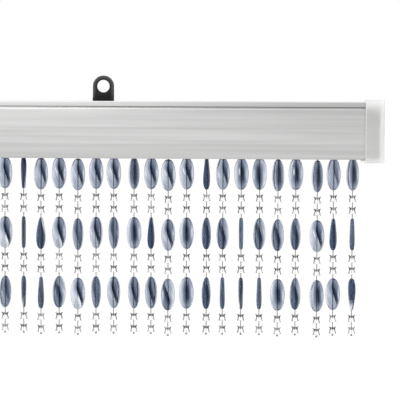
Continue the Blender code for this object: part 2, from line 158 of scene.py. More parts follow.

# Beads threaded the other way up, as strand and row, so that the painted light of a face is on its right
TURNED_OVER = (
    (14, 1), (17, 1), (5, 2), (11, 2), (14, 2), (15, 2), (17, 2), (18, 2), (19, 2), (21, 2), (22, 2),
    (5, 3), (6, 3), (12, 3), (14, 3), (15, 3), (17, 3), (19, 3),
)

# Beads with a patch of painted light beside the core, by strand and row, and how strong it is
PAINTED_LIGHT_PATCHES = {
    (3, 2): 1.0, (7, 3): 1.0, (6, 2): 0.8, (12, 2): 0.5, (8, 2): 0.4, (5, 2): 0.9,
    (11, 2): 0.7, (14, 1): 0.6, (20, 2): 0.5, (12, 1): 0.3, (9, 3): 0.3, (7, 1): 0.3,
}

# Beads whose core is soft and pale
SOFT_CORES = ((21, 1), (7, 2), (9, 2), (3, 3), (8, 3))

# Beads with a painted highlight left of the core
PAINTED_GLINT_BEADS = ((6, 1), (9, 1), (12, 1), (13, 1), (16, 1), (19, 1), (20, 2))

# Beads seen nearly edge on with painted light at their lower end
PAINTED_LIGHT_ENDS = ((4, 3), (16, 3), (22, 3))

# What an oval bead's mesh stores for its finish: the place on its skin, and what sets the bead apart
BEAD_NUMBERS = (
    "across", "along", "facing",
    "bend", "seed", "painted_light_patch", "depth", "softness", "painted_glint", "painted_light_end", "lit_side",
)

# The painted dark core's left edge across a face, from the lower tip up, 0.5 on the axis
CORE_PATH = ((0.02, 0.97), (0.17, 0.80), (0.30, 0.67), (0.50, 0.52), (0.66, 0.39), (0.82, 0.36), (1.0, 0.45))

# The painted light left of the core's edge, by the distance from it, and in a bead's lower part by the place
# across it
PAINTED_LIGHT_LEFT = (
    (0.14, (0.95, 0.96, 0.99)),
    (0.24, (0.84, 0.87, 0.94)),
    (0.34, (0.66, 0.70, 0.79)),
    (0.44, (0.48, 0.53, 0.62)),
    (0.50, (0.40, 0.45, 0.55)),
)
PAINTED_LIGHT_LOW = (
    (0.06, (0.88, 0.90, 0.95)),
    (0.16, (0.72, 0.75, 0.83)),
    (0.28, (0.64, 0.68, 0.76)),
    (0.38, (0.66, 0.70, 0.78)),
    (0.50, (0.68, 0.72, 0.79)),
    (0.60, (0.60, 0.64, 0.72)),
    (0.72, (0.46, 0.51, 0.60)),
)

# The painted shade right of the core's edge, by the distance from it
PAINTED_SHADE_CORE = (
    (0.00, (0.022, 0.034, 0.062)),
    (0.22, (0.028, 0.042, 0.074)),
    (0.38, (0.060, 0.084, 0.132)),
    (0.56, (0.150, 0.188, 0.265)),
    (0.76, (0.290, 0.340, 0.430)),
    (1.00, (0.400, 0.450, 0.540)),
)

# Single colours of the oval beads' skin, the tint all through them, and the streaks that fan out in them.
# The skin's colours are painted light and painted shade for what shows through a bead, pale rims and dark
# outlines among them, but for the slate dye that a turned or edge-on bead shows through its width
PAINTED_LIGHT_LOWER_END = (0.76, 0.80, 0.86)
PAINTED_SHADE_UPPER_END = (0.37, 0.41, 0.50)
DYE_TURNED_LEFT = (0.36, 0.42, 0.52)
PAINTED_SHADE_TURNED_RIGHT = (0.21, 0.28, 0.40)
DYE_EDGE_ON = (0.36, 0.42, 0.51)
PAINTED_LIGHT_FAR_RIGHT = (0.90, 0.92, 0.96)
PAINTED_SHADE_SOFT_CORE = (0.48, 0.53, 0.62)
PAINTED_LIGHT_CLEAR = (0.98, 0.99, 1.0)
PAINTED_SHADE_TIP = (0.06, 0.07, 0.09)
RIM_LEFT = (0.97, 0.97, 1.0)
RIM_RIGHT = (0.80, 0.83, 0.89)
OUTLINE_LEFT = (0.66, 0.68, 0.74)
OUTLINE_RIGHT = (0.45, 0.49, 0.57)
TINT_THROUGH = (0.20, 0.29, 0.42)
TINT_DENSITY = 160.0
STREAK_SHADES = ((0.38, (0.58, 0.62, 0.71)), (0.58, (1.0, 1.0, 1.0)))

# How bright the rail's metal is, from its foot to its top: faint bands, painted shade in the groove and a
# little towards the foot, and painted highlights on the slope under the groove and on the top edge
RAIL_BANDS_AND_PAINTED_LIGHT = (
    (0.000, 0.505), (0.050, 0.515), (0.114, 0.540), (0.185, 0.540), (0.220, 0.530), (0.240, 0.545),
    (0.273, 0.560), (0.308, 0.575), (0.361, 0.585), (0.449, 0.580), (0.484, 0.570), (0.519, 0.560),
    (0.540, 0.540), (0.560, 0.565), (0.607, 0.590), (0.660, 0.575), (0.800, 0.575), (0.850, 0.580),
    (0.862, 0.580), (0.868, 0.850), (0.892, 0.850), (0.899, 0.170), (0.909, 0.170), (0.914, 0.560),
    (0.984, 0.560), (0.990, 1.000),
)

# How bright the rail's metal is from its left end to its right one: painted light, brighter towards the left
# end
RAIL_PAINTED_LIGHT_ALONG = ((0.00, 1.0), (0.45, 0.99), (0.75, 0.93), (1.00, 0.87))

# How much light an end cap lets through, from its foot to its top
CAP_CLEARNESS = (
    (0.00, 0.20), (0.05, 0.45), (0.10, 0.68), (0.30, 0.72), (0.60, 0.76),
    (0.74, 0.80), (0.84, 0.62), (0.91, 0.35), (1.00, 0.10),
)


def place_of(joint_name):
    """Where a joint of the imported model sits."""
    for joint in frame["joints"]:
        if joint["name"] == joint_name:
            return Vector(joint["pos_m"])
    raise KeyError(joint_name)


def calculate(tree, operation, *values):
    """One arithmetic step of a material. Each value is a number or another node's output."""
    node = tree.nodes.new("ShaderNodeMath")
    node.operation = operation
    for socket, value in zip(node.inputs, values):
        if isinstance(value, (int, float)):
            socket.default_value = value
        else:
            tree.links.new(value, socket)
    return node.outputs["Value"]


def product(tree, first, *others):
    """Several values multiplied."""
    for other in others:
        first = calculate(tree, "MULTIPLY", first, other)
    return first


def as_share(tree, value):
    """A value from -1 to 1 brought to 0 to 1."""
    return calculate(tree, "ADD", product(tree, value, 0.5), 0.5)


def eased(tree, value, low, high, start=0.0, end=1.0):
    """A soft step from start to end while the value goes from low to high."""
    node = tree.nodes.new("ShaderNodeMapRange")
    node.interpolation_type = "SMOOTHSTEP"
    tree.links.new(value, node.inputs["Value"])
    node.inputs["From Min"].default_value = low
    node.inputs["From Max"].default_value = high
    node.inputs["To Min"].default_value = start
    node.inputs["To Max"].default_value = end
    return node.outputs["Result"]


def ramp(tree, value, stops, interpolation="LINEAR"):
    """Colours or greys laid along a value from 0 to 1."""
    node = tree.nodes.new("ShaderNodeValToRGB")
    node.color_ramp.interpolation = interpolation
    elements = node.color_ramp.elements
    while len(elements) < len(stops):
        elements.new(0.5)
    for element, (position, colour) in zip(elements, stops):
        element.position = position
        element.color = (*colour, 1.0) if isinstance(colour, tuple) else (colour, colour, colour, 1.0)
    tree.links.new(value, node.inputs["Fac"])
    return node.outputs["Color"]


def mixed(tree, share, first, second, blend="MIX"):
    """Two colours mixed by a share."""
    node = tree.nodes.new("ShaderNodeMix")
    node.data_type = "RGBA"
    node.blend_type = blend
    for name, value in (("Factor", share), ("A", first), ("B", second)):
        kind = "VALUE" if name == "Factor" else "RGBA"
        socket = next(s for s in node.inputs if s.name == name and s.type == kind)
        if isinstance(value, (int, float)):
            socket.default_value = value
        elif isinstance(value, tuple):
            socket.default_value = (*value, 1.0)
        else:
            tree.links.new(value, socket)
    return next(s for s in node.outputs if s.type == "RGBA")


def tinted(tree, colour, *tints):
    """A colour multiplied by others."""
    for tint in tints:
        colour = mixed(tree, 1.0, colour, tint, "MULTIPLY")
    return colour


def noise(tree, vector, scale, detail=3.0, roughness=0.5):
    """Noise over a vector, a grey from 0 to 1."""
    node = tree.nodes.new("ShaderNodeTexNoise")
    node.inputs["Scale"].default_value = scale
    node.inputs["Detail"].default_value = detail
    node.inputs["Roughness"].default_value = roughness
    tree.links.new(vector, node.inputs["Vector"])
    return node.outputs["Fac"]


def stretched(tree, scale=(1, 1, 1)):
    """Object coordinates stretched by a scale per axis."""
    coordinates = tree.nodes.new("ShaderNodeTexCoord")
    mapping = tree.nodes.new("ShaderNodeMapping")
    mapping.inputs["Scale"].default_value = scale
    tree.links.new(coordinates.outputs["Object"], mapping.inputs["Vector"])
    return mapping.outputs["Vector"]


def coordinate(tree, kind, axis):
    """One number of an object coordinate or of the normal."""
    coordinates = tree.nodes.new("ShaderNodeTexCoord")
    parts = tree.nodes.new("ShaderNodeSeparateXYZ")
    tree.links.new(coordinates.outputs[kind], parts.inputs["Vector"])
    return parts.outputs[axis]


def place_on(tree, axis, low, high):
    """How far along an axis of the object a point lies, 0 at low and 1 at high."""
    node = tree.nodes.new("ShaderNodeMapRange")
    node.clamp = False
    tree.links.new(coordinate(tree, "Object", axis), node.inputs["Value"])
    node.inputs["From Min"].default_value = low
    node.inputs["From Max"].default_value = high
    return node.outputs["Result"]


def attribute(tree, name):
    """A number stored on the piece's mesh."""
    node = tree.nodes.new("ShaderNodeAttribute")
    node.attribute_name = name
    return node.outputs["Fac"]


def seen_by_the_eye(tree):
    """1 for what is seen, straight, mirrored or through clear plastic, and 0 for light that only bounces."""
    path = tree.nodes.new("ShaderNodeLightPath")
    seen = calculate(tree, "MAXIMUM", path.outputs["Is Camera Ray"], path.outputs["Is Glossy Ray"])
    return calculate(tree, "MAXIMUM", seen, path.outputs["Is Transmission Ray"])


def bumped(tree, height, distance, strength=1.0):
    """A normal bent by a height."""
    node = tree.nodes.new("ShaderNodeBump")
    node.inputs["Distance"].default_value = distance
    node.inputs["Strength"].default_value = strength
    tree.links.new(height, node.inputs["Height"])
    return node.outputs["Normal"]


def new_material(name):
    """A material with its node tree and its main shader."""
    material = bpy.data.materials.new(name)
    material.use_nodes = True
    tree = material.node_tree
    return material, tree, tree.nodes["Principled BSDF"]


def tint_outer_skin(tree, shader, tint):
    """Tint the outside of clear plastic. Only the root of a colour takes effect there, so it is squared."""
    skin = tree.nodes.new("ShaderNodeNewGeometry")
    outer = mixed(tree, skin.outputs["Backfacing"], tint, (1.0, 1.0, 1.0))
    tree.links.new(tinted(tree, outer, outer), shader.inputs["Base Color"])


def satin_aluminium():
    """Anodised extrusion: fine lines drawn along the rail over broad, faint bands, with painted shade and
    painted highlights laid over it.
    """
    material, tree, shader = new_material("satin_aluminium")
    fine = noise(tree, stretched(tree, (6, 2600, 2600)), 1.0, 4.0, 0.6)
    broad = noise(tree, stretched(tree, (5.5, 330, 330)), 1.0, 3.0, 0.55)
    lines = calculate(tree, "ADD", product(tree, fine, 0.2), product(tree, broad, 0.8))
    brushed = ramp(tree, lines, ((0.30, (0.86, 0.86, 0.855)), (0.70, (0.99, 0.99, 0.985))))

    # Levels by the height and by the length, partly painted light: painted shade in the groove, painted
    # highlights on the edges and a painted gradient along the length. The faces that point up have a level of
    # their own
    height = place_on(tree, "Z", RAIL_FOOT, RAIL_TOP)
    facing_up = eased(tree, coordinate(tree, "Normal", "Z"), 0.85, 0.98)
    bands_and_painted_light = mixed(tree, facing_up, ramp(tree, height, RAIL_BANDS_AND_PAINTED_LIGHT), (0.60, 0.60, 0.60))
    along = place_on(tree, "X", -RAIL_HALF, RAIL_HALF)
    length = ramp(tree, along, RAIL_PAINTED_LIGHT_ALONG)

    # Painted light: the upper left and the lower right are a little brighter than the other two corners
    upward = calculate(tree, "SUBTRACT", height, 0.5)
    leftward = calculate(tree, "SUBTRACT", 0.5, along)
    painted_corner_light = calculate(tree, "ADD", product(tree, upward, leftward, 0.4), 1.0)

    tree.links.new(tinted(tree, brushed, bands_and_painted_light, length, painted_corner_light), shader.inputs["Base Color"])
    tree.links.new(eased(tree, lines, 0.3, 0.7, 0.34, 0.44), shader.inputs["Roughness"])
    tree.links.new(bumped(tree, fine, 0.00002, 0.3), shader.inputs["Normal"])
    shader.inputs["Metallic"].default_value = 1.0
    return material


def drawn_steel():
    """Bright drawn rod with lines along it."""
    material, tree, shader = new_material("drawn_steel")
    lines = noise(tree, stretched(tree, (20, 3000, 3000)), 1.0, 3.0)
    colour = ramp(tree, lines, ((0.3, (0.42, 0.43, 0.45)), (0.7, (0.58, 0.59, 0.61))))
    tree.links.new(colour, shader.inputs["Base Color"])
    tree.links.new(eased(tree, lines, 0.3, 0.7, 0.22, 0.34), shader.inputs["Roughness"])
    shader.inputs["Metallic"].default_value = 1.0
    return material


def frosted_plastic():
    """Frosted translucent cap with a fine moulded grain, whiter towards its thick edges."""
    material, tree, shader = new_material("frosted_plastic")
    grain = noise(tree, stretched(tree), 3500.0, 2.0)
    cloud = noise(tree, stretched(tree), 180.0, 2.0)
    colour = ramp(tree, cloud, ((0.3, (0.91, 0.91, 0.905)), (0.7, (0.96, 0.96, 0.955))))
    tree.links.new(colour, shader.inputs["Base Color"])
    tree.links.new(eased(tree, grain, 0.3, 0.7, 0.36, 0.50), shader.inputs["Roughness"])
    tree.links.new(bumped(tree, grain, 0.00003, 0.4), shader.inputs["Normal"])
    clearness = ramp(tree, place_on(tree, "Z", CAP_FOOT, CAP_TOP), CAP_CLEARNESS)
    outwards = calculate(tree, "ABSOLUTE", place_on(tree, "X", 0.0, CAP_OUTER_END))
    outer_end = eased(tree, outwards, 0.965, 0.995, 1.0, 0.55)
    inner_end = eased(tree, outwards, 0.916, 0.924, 0.5)
    tree.links.new(product(tree, clearness, outer_end, inner_end), shader.inputs["Transmission Weight"])
    shader.inputs["IOR"].default_value = 1.46
    return material


def black_plastic():
    """Satin black moulding with a fine grain, a painted highlight along its rim and painted shade, darkest at
    its foot.
    """
    material, tree, shader = new_material("black_plastic")
    grain = noise(tree, stretched(tree), 2600.0, 3.0)
    patches = noise(tree, stretched(tree), 420.0, 3.0)

    # How far a point lies from its lug's hole, or below the hole's centre from the middle line under it
    asides = [calculate(tree, "ABSOLUTE", place_on(tree, "X", place, place + 1)) for place in LUG_PLACES]
    aside = calculate(tree, "MINIMUM", *asides)
    above = calculate(tree, "MAXIMUM", place_on(tree, "Z", LUG_HOLE_HEIGHT, LUG_HOLE_HEIGHT + 1), 0.0)
    squares = [calculate(tree, "POWER", value, 2.0) for value in (aside, above)]
    reach = calculate(tree, "SQRT", calculate(tree, "ADD", *squares))

    # A painted highlight along the rim, and painted shade from LUG_SHADE_TOP down to the rail
    painted_rim_highlight = eased(tree, reach, LUG_HIGHLIGHT_START, LUG_HIGHLIGHT_END)
    upper = eased(tree, place_on(tree, "Z", RAIL_TOP, LUG_SHADE_TOP), 0.0, 1.0)
    face = mixed(tree, upper, (0.001, 0.001, 0.001), (0.014, 0.0135, 0.013))
    edge = mixed(tree, upper, (0.016, 0.016, 0.016), (0.090, 0.087, 0.084))
    speckles = ramp(tree, patches, ((0.35, (0.70, 0.70, 0.70)), (0.65, (1.0, 1.0, 1.0))))
    tree.links.new(tinted(tree, mixed(tree, painted_rim_highlight, face, edge), speckles), shader.inputs["Base Color"])
    tree.links.new(eased(tree, patches, 0.3, 0.7, 0.36, 0.52), shader.inputs["Roughness"])
    tree.links.new(bumped(tree, grain, 0.00004, 0.5), shader.inputs["Normal"])
    shader.inputs["Specular IOR Level"].default_value = 0.2
    return material


def clip_plastic():
    """Milky moulded hook."""
    material, tree, shader = new_material("clip_plastic")
    cloud = noise(tree, stretched(tree), 700.0, 2.0)
    colour = ramp(tree, cloud, ((0.3, (0.70, 0.70, 0.68)), (0.7, (0.78, 0.78, 0.76))))
    tree.links.new(colour, shader.inputs["Base Color"])
    tree.links.new(eased(tree, cloud, 0.3, 0.7, 0.34, 0.46), shader.inputs["Roughness"])
    shader.inputs["Subsurface Weight"].default_value = 0.2
    shader.inputs["Subsurface Radius"].default_value = (0.001, 0.001, 0.001)
    return material


def thread_nylon():
    """Grey twisted nylon thread."""
    material, tree, shader = new_material("thread_nylon")
    twist = noise(tree, stretched(tree, (1, 1, 0.35)), 4200.0, 2.0)
    colour = ramp(tree, twist, ((0.3, (0.19, 0.185, 0.185)), (0.7, (0.34, 0.33, 0.33))))
    tree.links.new(colour, shader.inputs["Base Color"])
    tree.links.new(eased(tree, twist, 0.3, 0.7, 0.45, 0.6), shader.inputs["Roughness"])
    tree.links.new(bumped(tree, twist, 0.00005, 0.6), shader.inputs["Normal"])
    return material


def slate_acrylic():
    """Smoky slate-blue acrylic with painted light and shade on its skin for what shows through it: paler at
    the rims, with a painted dark core that bends in an S across each face.
    """
    material, tree, shader = new_material("slate_acrylic")
    stored = [attribute(tree, name) for name in BEAD_NUMBERS]
    across, along, facing, bend, seed, painted_light_patch, depth, softness, painted_glint, painted_light_end, lit_side = stored

    # The place across a face as the eye sees it, from -1 at its left rim to 1 at its right one
    front = calculate(tree, "GREATER_THAN", facing, 0.0)
    over = product(tree, across, calculate(tree, "SUBTRACT", product(tree, front, 2.0), 1.0))
    off_axis = calculate(tree, "ABSOLUTE", over)
    tall = calculate(tree, "ABSOLUTE", along)

    # The core's left edge, and how far to its right a point lies, a little wavering with the streaks
    straight = calculate(tree, "SUBTRACT", 1.0, bend)
    path = ramp(tree, as_share(tree, along), CORE_PATH, "B_SPLINE")
    swing = product(tree, calculate(tree, "SUBTRACT", path, 0.5), 2.0)
    bent = calculate(tree, "ADD", product(tree, swing, bend), product(tree, straight, 0.08))
    line = calculate(tree, "SUBTRACT", bent, product(tree, depth, 0.5))
    beyond = calculate(tree, "SUBTRACT", over, line)
    streak_place = tree.nodes.new("ShaderNodeCombineXYZ")
    tree.links.new(product(tree, beyond, 6.0), streak_place.inputs["X"])
    tree.links.new(product(tree, along, 0.8), streak_place.inputs["Y"])
    tree.links.new(seed, streak_place.inputs["Z"])
    streaks = noise(tree, streak_place.outputs["Vector"], 1.0, 3.0, 0.6)
    waver = product(tree, calculate(tree, "SUBTRACT", streaks, 0.5), 0.06)
    reach = calculate(tree, "ADD", beyond, waver)
    place = as_share(tree, reach)
    narrowed = product(tree, reach, calculate(tree, "ADD", product(tree, straight, 0.9), 1.0))

    # The painted light left of the edge. A straight core's painted shade fades out to its left as well
    low_left = ramp(tree, as_share(tree, over), PAINTED_LIGHT_LOW)
    left = mixed(tree, eased(tree, along, -0.50, 0.05), low_left, ramp(tree, place, PAINTED_LIGHT_LEFT))
    fading = eased(tree, tall, 0.25, 1.0, 0.0, 0.85)
    ends = mixed(tree, eased(tree, along, -0.8, -0.2), PAINTED_LIGHT_LOWER_END, PAINTED_SHADE_UPPER_END)
    near_left = mixed(tree, fading, ramp(tree, product(tree, narrowed, -1.0), PAINTED_SHADE_CORE), ends)
    left = mixed(tree, product(tree, straight, eased(tree, reach, -0.75, -0.45)), left, near_left)
    left = mixed(tree, product(tree, depth, depth), left, DYE_TURNED_LEFT)

    # The painted shade right of it: the dark core, a painted light strip along the right rim, and on a turned
    # bead painted shade giving way to the slate dye seen edge on
    fading_right = product(tree, fading, eased(tree, along, -0.9, -0.4, 0.55, 1.0))
    dark = mixed(tree, fading_right, ramp(tree, narrowed, PAINTED_SHADE_CORE), ends)
    spread = calculate(tree, "SUBTRACT", over, eased(tree, tall, 0.1, 0.7, 0.0, 0.32))
    right = mixed(tree, eased(tree, spread, 0.50, 0.84), dark, PAINTED_LIGHT_FAR_RIGHT)
    turned_right = mixed(tree, eased(tree, depth, 0.95, 1.0), PAINTED_SHADE_TURNED_RIGHT, DYE_EDGE_ON)
    right = mixed(tree, depth, right, turned_right)

    # Both sides together. A turned bead gets painted light where it faces the key lamp, on its axis or along
    # its rims, and painted shade on its other side
    core_side = eased(tree, reach, -0.015, 0.03)
    paled = mixed(tree, core_side, left, right)
    paled = mixed(tree, product(tree, softness, 0.35), paled, PAINTED_SHADE_SOFT_CORE)
    inwards = calculate(tree, "SUBTRACT", 0.5, off_axis)
    painted_flank_light = product(tree, inwards, lit_side, depth)
    paled = tinted(tree, paled, eased(tree, painted_flank_light, -0.5, 0.5, 0.75, 1.25))

    # Painted light: a patch beside the core, a pale lower end and a painted highlight
    low = eased(tree, along, -0.45, 0.30, 1.0, 0.0)
    left_of_core = calculate(tree, "SUBTRACT", 1.0, core_side)
    beside = product(tree, left_of_core, eased(tree, place, 0.2, 0.45, 0.6))
    edgewise = product(tree, painted_light_end, front, eased(tree, over, 0.75, 0.95, 1.0, 0.0))
    edgewise = product(tree, edgewise, eased(tree, along, -0.85, -0.15, 1.0, 0.0))
    painted_light_share = calculate(tree, "MAXIMUM", product(tree, painted_light_patch, low, beside), edgewise)
    painted_glint_aside = calculate(tree, "ABSOLUTE", calculate(tree, "ADD", reach, 0.33))
    painted_glint_above = calculate(tree, "ABSOLUTE", calculate(tree, "SUBTRACT", along, 0.16))
    painted_glint = product(tree, painted_glint, eased(tree, painted_glint_aside, 0.03, 0.18, 1.0, 0.0))
    painted_glint = product(tree, painted_glint, eased(tree, painted_glint_above, 0.08, 0.36, 0.85, 0.0))
    painted_light_share = calculate(tree, "MAXIMUM", painted_light_share, painted_glint)

    # The bore's dark line on the axis, and the streaks
    bore_high = eased(tree, off_axis, 0.03, 0.13, 0.40, 1.0)
    bore_low = eased(tree, off_axis, 0.01, 0.07, 0.68, 1.0)
    bore = mixed(tree, eased(tree, along, -0.25, 0.25), bore_low, bore_high)
    streaked = mixed(tree, 0.85, tinted(tree, paled, bore), ramp(tree, streaks, STREAK_SHADES), "MULTIPLY")
    # Then the painted light over them
    streaked = mixed(tree, painted_light_share, streaked, PAINTED_LIGHT_CLEAR)

    # The pale rim of painted light, its thin outline of painted shade and the dark tips of painted shade. On
    # a turned bead the core's painted shade runs out over the rim
    dark_rim = calculate(tree, "MAXIMUM", product(tree, core_side, depth), eased(tree, depth, 0.96, 1.0))
    pale_rim = calculate(tree, "SUBTRACT", 1.0, dark_rim)
    rim = product(tree, eased(tree, off_axis, 0.80, 0.90), pale_rim)
    rimmed = mixed(tree, rim, streaked, mixed(tree, core_side, RIM_LEFT, RIM_RIGHT))
    outline = product(tree, eased(tree, off_axis, 0.93, 0.98), pale_rim)
    outlined = mixed(tree, outline, rimmed, mixed(tree, core_side, OUTLINE_LEFT, OUTLINE_RIGHT))
    tipped = mixed(tree, eased(tree, tall, 0.975, 0.992), outlined, PAINTED_SHADE_TIP)
    tint_outer_skin(tree, shader, tipped)
    tree.links.new(eased(tree, streaks, 0.3, 0.7, 0.02, 0.06), shader.inputs["Roughness"])

    # Rims, tips, turned beads and the places of painted light are cloudy, and the rest lets all light through
    cloudy_rim = calculate(tree, "MAXIMUM", eased(tree, off_axis, 0.80, 0.92), eased(tree, tall, 0.84, 0.95))
    cloudy = calculate(tree, "MAXIMUM", product(tree, cloudy_rim, 0.8), product(tree, depth, 0.6))
    cloudy = calculate(tree, "MAXIMUM", cloudy, product(tree, painted_light_share, 0.85))
    tree.links.new(calculate(tree, "SUBTRACT", 1.0, cloudy), shader.inputs["Transmission Weight"])
    shader.inputs["IOR"].default_value = 1.38
    shader.inputs["Specular Tint"].default_value = (0.25, 0.26, 0.30, 1.0)
    absorption = tree.nodes.new("ShaderNodeVolumeAbsorption")
    absorption.inputs["Color"].default_value = (*TINT_THROUGH, 1.0)
    absorption.inputs["Density"].default_value = TINT_DENSITY
    output = next(node for node in tree.nodes if node.type == "OUTPUT_MATERIAL")
    tree.links.new(absorption.outputs["Volume"], output.inputs["Volume"])
    return material


def clear_acrylic():
    """Clear acrylic with painted shade round the waist and along the sides where its skin turns away from the
    eye.
    """
    material, tree, shader = new_material("clear_acrylic")
    painted_shade_share = attribute(tree, "painted_shade_share")
    weight = tree.nodes.new("ShaderNodeLayerWeight")
    weight.inputs["Blend"].default_value = 0.5
    turned_away = weight.outputs["Facing"]

    # The waist has painted shade all round. The sides get painted shade by their share of it, and wider where
    # they have most
    waist = product(tree, eased(tree, painted_shade_share, 0.96, 1.0), eased(tree, turned_away, 0.0, 0.18, 0.45, 1.0))
    wide = product(tree, eased(tree, turned_away, 0.02, 0.30), eased(tree, painted_shade_share, 0.78, 0.92))
    narrow = eased(tree, turned_away, 0.05, 0.38)
    sides = product(tree, painted_shade_share, calculate(tree, "MAXIMUM", wide, narrow))

    haze = noise(tree, stretched(tree), 900.0, 2.0)
    batch = eased(tree, noise(tree, stretched(tree), 95.0, 0.0), 0.3, 0.55, 0.76, 1.0)
    dark = product(tree, calculate(tree, "MAXIMUM", waist, sides), batch)
    shade = ramp(tree, haze, ((0.3, (0.020, 0.015, 0.035)), (0.7, (0.045, 0.035, 0.070))))
    tint_outer_skin(tree, shader, mixed(tree, dark, (0.98, 0.98, 0.985), shade))
    tree.links.new(eased(tree, haze, 0.3, 0.7, 0.0, 0.04), shader.inputs["Roughness"])
    tree.links.new(eased(tree, painted_shade_share, -0.8, -0.2, 0.15, 1.0), shader.inputs["Transmission Weight"])
    shader.inputs["IOR"].default_value = 1.30
    shader.inputs["Specular Tint"].default_value = (0.35, 0.35, 0.38, 1.0)
    return material


def finished(name, mesh_edit, material, body, smooth_degrees=None):
    """Turn a bmesh into a piece that rides on a body. Its place is in its mesh."""
    mesh = bpy.data.meshes.new(name)
    mesh_edit.to_mesh(mesh)
    mesh_edit.free()
    mesh.materials.append(material)
    piece = bpy.data.objects.new(name, mesh)
    bpy.context.scene.collection.objects.link(piece)
    if smooth_degrees:
        mesh.shade_smooth()
        mesh.set_sharp_from_angle(angle=math.radians(smooth_degrees))
    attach(piece, body)
    return piece


def refined(node, name, material, body, width):
    """A CAD node's own shape with its hard edges rounded, to stand in for it."""
    mesh_edit = bmesh.new()
    mesh_edit.from_mesh(frame["nodes"][node].data)
    bmesh.ops.remove_doubles(mesh_edit, verts=mesh_edit.verts, dist=MERGE_DISTANCE)
    bmesh.ops.dissolve_limit(
        mesh_edit, angle_limit=FLAT_ANGLE, verts=mesh_edit.verts, edges=mesh_edit.edges,
    )
    hard = [
        edge for edge in mesh_edit.edges
        if len(edge.link_faces) == 2 and edge.calc_face_angle() > HARD_EDGE
    ]
    bmesh.ops.bevel(
        mesh_edit, geom=hard, offset=width, offset_type="OFFSET", segments=ROUNDING_SEGMENTS,
        profile=0.5, affect="EDGES", clamp_overlap=True, material=-1,
    )
    for layer in list(mesh_edit.loops.layers.uv):
        mesh_edit.loops.layers.uv.remove(layer)
    piece = finished(name, mesh_edit, material, body)
    piece.data.shade_smooth()
    modifier = piece.modifiers.new("even_shading", "WEIGHTED_NORMAL")
    modifier.keep_sharp = False
    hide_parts(node)
    return piece


def paint_node(node, material):
    """Give a CAD node that shows as it is its finish."""
    materials = frame["nodes"][node].data.materials
    materials.clear()
    materials.append(material)


def add_oval_bead(mesh_edit, layers, centre, face_turn, twist, way_up, looks):
    """One flat oval bead, twisted about its thread, from a ball."""
    made = bmesh.ops.create_uvsphere(mesh_edit, u_segments=BEAD_SEGMENTS, v_segments=BEAD_RINGS, radius=1.0)
    for vert in made["verts"]:
        rise = vert.co.z
        swell = math.sqrt(max(0.0, 1.0 - rise * rise))
        length = math.hypot(vert.co.x, vert.co.y)
        at_tip = length <= 1e-5
        across = 0.0 if at_tip else vert.co.x / length
        facing = 0.0 if at_tip else -vert.co.y / length
        half_width = BEAD_TIP_RADIUS + (BEAD_WIDTH / 2 - BEAD_TIP_RADIUS) * swell
        fullness = swell**BEAD_BLUNTNESS * abs(facing) ** BEAD_RIM_SHARPNESS
        half_depth = (BEAD_THICKNESS / 2) * fullness
        flat = Vector((half_width * across, -math.copysign(half_depth, facing), 0))
        turned = Matrix.Rotation(face_turn + twist * rise / 2, 3, "Z") @ flat
        vert.co = centre + turned + Vector((0, 0, rise * BEAD_LENGTH / 2))
        vert[layers["across"]] = across * way_up
        vert[layers["facing"]] = facing
        vert[layers["along"]] = rise * way_up
        for key, value in looks.items():
            vert[layers[key]] = value


def add_spool_bead(mesh_edit, layers, centre):
    """One clear spool bead: half its outline spun about the thread."""
    verts = []
    for radius_share, height_share, painted_shade_share in SPOOL_PROFILE:
        place = Vector((SPOOL_RIM_RADIUS * radius_share, 0, SPOOL_HEIGHT / 2 * height_share))
        vert = mesh_edit.verts.new(centre + place)
        vert[layers["painted_shade_share"]] = painted_shade_share
        verts.append(vert)
    edges = [mesh_edit.edges.new(pair) for pair in zip(verts, verts[1:])]
    edges.append(mesh_edit.edges.new((verts[-1], verts[0])))
    bmesh.ops.spin(
        mesh_edit, geom=verts + edges, cent=centre, axis=(0, 0, 1), dvec=(0, 0, 0),
        angle=math.tau, steps=SPOOL_STEPS, use_merge=True, use_normal_flip=False, use_duplicate=False,
    )


def looks_of(strand, row, degrees):
    """What sets one oval bead apart from the others in its finish."""
    bead = (strand, row + 1)
    edge_on = (abs(degrees) - EDGE_ON_START) / (EDGE_ON_END - EDGE_ON_START)
    return {
        "bend": STRAIGHT_CORE_BEND if bead in STRAIGHT_CORES else 1.0,
        "seed": strand * 3.7 + row * 1.3,
        "painted_light_patch": PAINTED_LIGHT_PATCHES.get(bead, 0.0),
        "depth": min(max(edge_on, 0.0), 1.0),
        "softness": 1.0 if bead in SOFT_CORES else 0.0,
        "painted_glint": 1.0 if bead in PAINTED_GLINT_BEADS else 0.0,
        "painted_light_end": 1.0 if bead in PAINTED_LIGHT_ENDS else 0.0,
        "lit_side": 1.0 if degrees < 0 else -1.0,
    }


